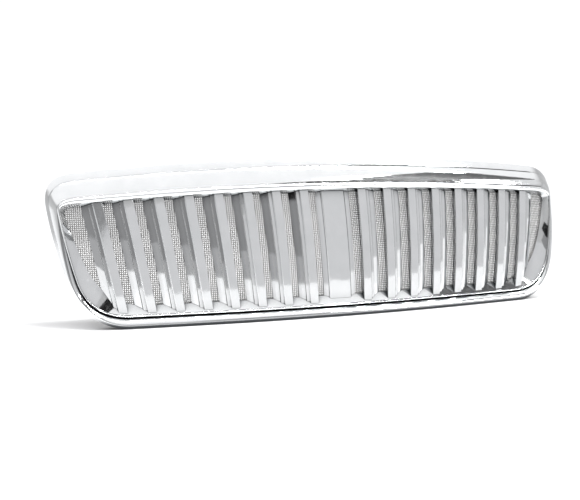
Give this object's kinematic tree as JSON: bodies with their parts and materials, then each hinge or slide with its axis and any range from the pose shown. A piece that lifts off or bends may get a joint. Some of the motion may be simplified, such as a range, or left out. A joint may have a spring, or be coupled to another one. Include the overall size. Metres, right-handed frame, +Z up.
{
  "type": "front grille",
  "caption": "Chrome car front grille: a bowed surround with vertical blades and a wide centre bar over a fine wire mesh, on a black carrier frame with steel brackets.",
  "frame": {"origin": "under the middle of the whole grille's bounding box, on the surface its lower rail stands on", "axes": "+X to the right seen from the front, -Y forwards out of the grille's face, +Z up"},
  "size_m": [0.9402, 0.1338, 0.264],
  "materials": {
    "chrome_plate": "mirror-bright chrome plating over moulded plastic",
    "steel_mesh": "satin woven wire",
    "black_plastic": "fine-grained matt moulding",
    "zinc_steel": "bright zinc plate, slightly cloudy",
    "seal_foam": "open-cell matt foam"
  },
  "bodies": {
    "root": {"bar_left_1": "chrome_plate", "bar_left_2": "chrome_plate", "bar_left_3": "chrome_plate", "bar_left_4": "chrome_plate", "bar_left_5": "chrome_plate", "bar_left_6": "chrome_plate", "bar_left_7": "chrome_plate", "bar_left_8": "chrome_plate", "bar_right_1": "chrome_plate", "bar_right_2": "chrome_plate", "bar_right_3": "chrome_plate", "bar_right_4": "chrome_plate", "bar_right_5": "chrome_plate", "bar_right_6": "chrome_plate", "bar_right_7": "chrome_plate", "bar_right_8": "chrome_plate", "carrier_frame": "black_plastic", "carrier_screw_1": "zinc_steel", "carrier_screw_2": "zinc_steel", "carrier_screw_3": "zinc_steel", "carrier_screw_4": "zinc_steel", "carrier_screw_5": "zinc_steel", "carrier_screw_6": "zinc_steel", "carrier_screw_7": "zinc_steel", "carrier_screw_8": "zinc_steel", "centre_bar": "chrome_plate", "centre_post": "black_plastic", "foam_seal": "seal_foam", "lower_bracket_left": "zinc_steel", "lower_bracket_left_screw_1": "zinc_steel", "lower_bracket_left_screw_2": "zinc_steel", "lower_bracket_right": "zinc_steel", "lower_bracket_right_screw_1": "zinc_steel", "lower_bracket_right_screw_2": "zinc_steel", "mesh_screen": "steel_mesh", "post_screw_lower": "zinc_steel", "post_screw_upper": "zinc_steel", "surround": "chrome_plate", "upper_bracket_left": "zinc_steel", "upper_bracket_left_screw_1": "zinc_steel", "upper_bracket_left_screw_2": "zinc_steel", "upper_bracket_right": "zinc_steel", "upper_bracket_right_screw_1": "zinc_steel", "upper_bracket_right_screw_2": "zinc_steel"}
  },
  "joints": []
}
